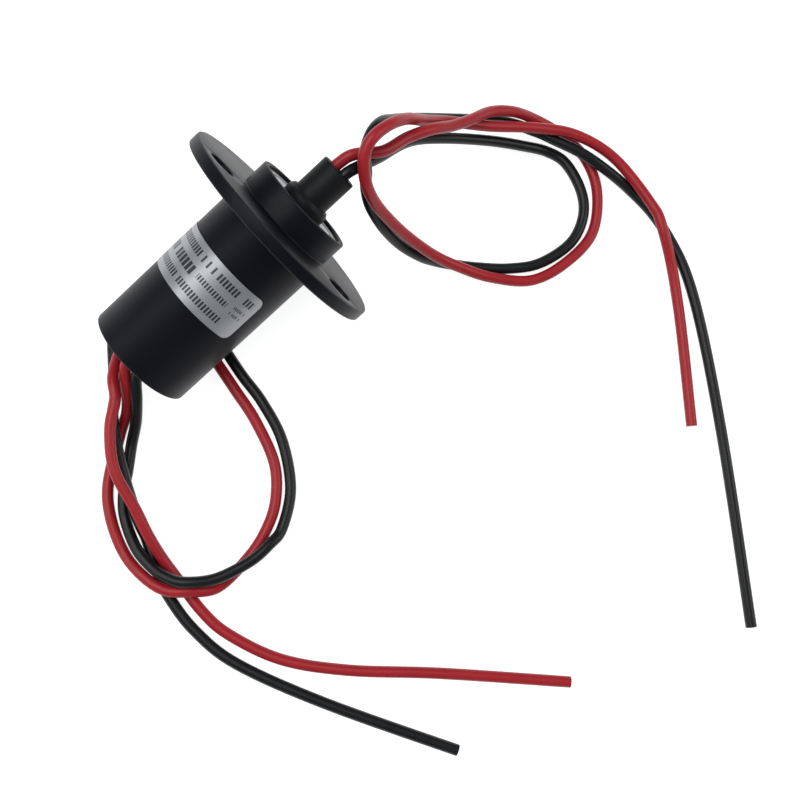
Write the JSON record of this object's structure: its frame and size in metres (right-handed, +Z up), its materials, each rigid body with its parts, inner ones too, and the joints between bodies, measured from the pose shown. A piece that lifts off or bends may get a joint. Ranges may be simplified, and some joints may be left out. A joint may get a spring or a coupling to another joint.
{
  "type": "slip ring",
  "caption": "Capsule slip ring with a round mounting flange, a hollow shaft on ball bearings and flexible leads out of both ends.",
  "frame": {"origin": "centre of the box of the part without its leads, at its base, where it lies on the rims of the flange and of the rear end", "axes": "+X towards the shaft end, along the part's axis seen from above; +Z up; the shaft end tips up by 17.7 degrees"},
  "size_m": [0.1331, 0.1456, 0.0434],
  "materials": {
    "housing": "moulded, near-black with a slight blue cast, satin",
    "cap": "moulded, near-black, satin",
    "seal": "soft black",
    "label": "brushed silver foil face",
    "race": "ground bearing steel",
    "shield": "pressed steel, bright",
    "board": "glass-filled board, green",
    "brush": "gold-coloured spring wire",
    "wire_red": "thin insulated wire",
    "wire_black": "thin insulated wire",
    "shaft": "hollow plastic shaft, near-black satin",
    "bush": "near-black satin",
    "shim": "plain steel",
    "insulator": "ivory insulating plastic",
    "contact": "gold-plated, polished grooves",
    "clip": "dark spring steel",
    "ball": "polished ball steel",
    "cage": "machined brass",
    "lead_red": "flexible insulation, glossy deep red",
    "lead_black": "flexible insulation, glossy black"
  },
  "bodies": {
    "stator": {"stator_housing": "housing", "rear_cap": "cap", "lead_seal": "seal", "rating_label": "label", "front_outer_race": "race", "front_shield": "shield", "front_inner_shield": "shield", "rear_outer_race": "race", "rear_shield": "shield", "rear_inner_shield": "shield", "brush_board_left": "board", "brush_board_right": "board", "brush_wires_a": "brush", "brush_wires_b": "brush", "stator_wire_red": "wire_red", "stator_wire_black": "wire_black", "stator_lead_red": "lead_red", "stator_lead_black": "lead_black"},
    "rotor": {"rotor_shaft": "shaft", "retaining_bush": "bush", "front_inner_race": "race", "rear_inner_race": "race", "shim_washer": "shim", "ring_core": "insulator", "front_barrier": "insulator", "middle_barrier": "insulator", "rear_barrier": "insulator", "slip_ring_a": "contact", "slip_ring_b": "contact", "circlip": "clip", "rotor_wire_red": "wire_red", "rotor_wire_black": "wire_black", "rotor_lead_red": "lead_red", "rotor_lead_black": "lead_black"},
    "front_ball_row": {"front_balls_set": "ball", "front_cage": "cage"},
    "rear_ball_row": {"rear_balls_set": "ball", "rear_cage": "cage"}
  },
  "joints": [
    {"name": "rotor_spin", "type": "hinge", "parent": "stator", "child": "rotor", "pos_m": [0.02182, 0, 0.02499], "axis": [0.9526, 0, 0.3043], "continuous": true},
    {"name": "front_ball_spin", "type": "hinge", "parent": "stator", "child": "front_ball_row", "pos_m": [0.0142, 0, 0.02256], "axis": [0.9526, 0, 0.3043], "continuous": true},
    {"name": "rear_ball_spin", "type": "hinge", "parent": "stator", "child": "rear_ball_row", "pos_m": [-0.0158, 0, 0.01297], "axis": [0.9526, 0, 0.3043], "continuous": true}
  ],
  "couplings": [
    {"joint": "front_ball_spin", "follows": "rotor_spin", "ratio": 0.3897},
    {"joint": "rear_ball_spin", "follows": "rotor_spin", "ratio": 0.4}
  ]
}
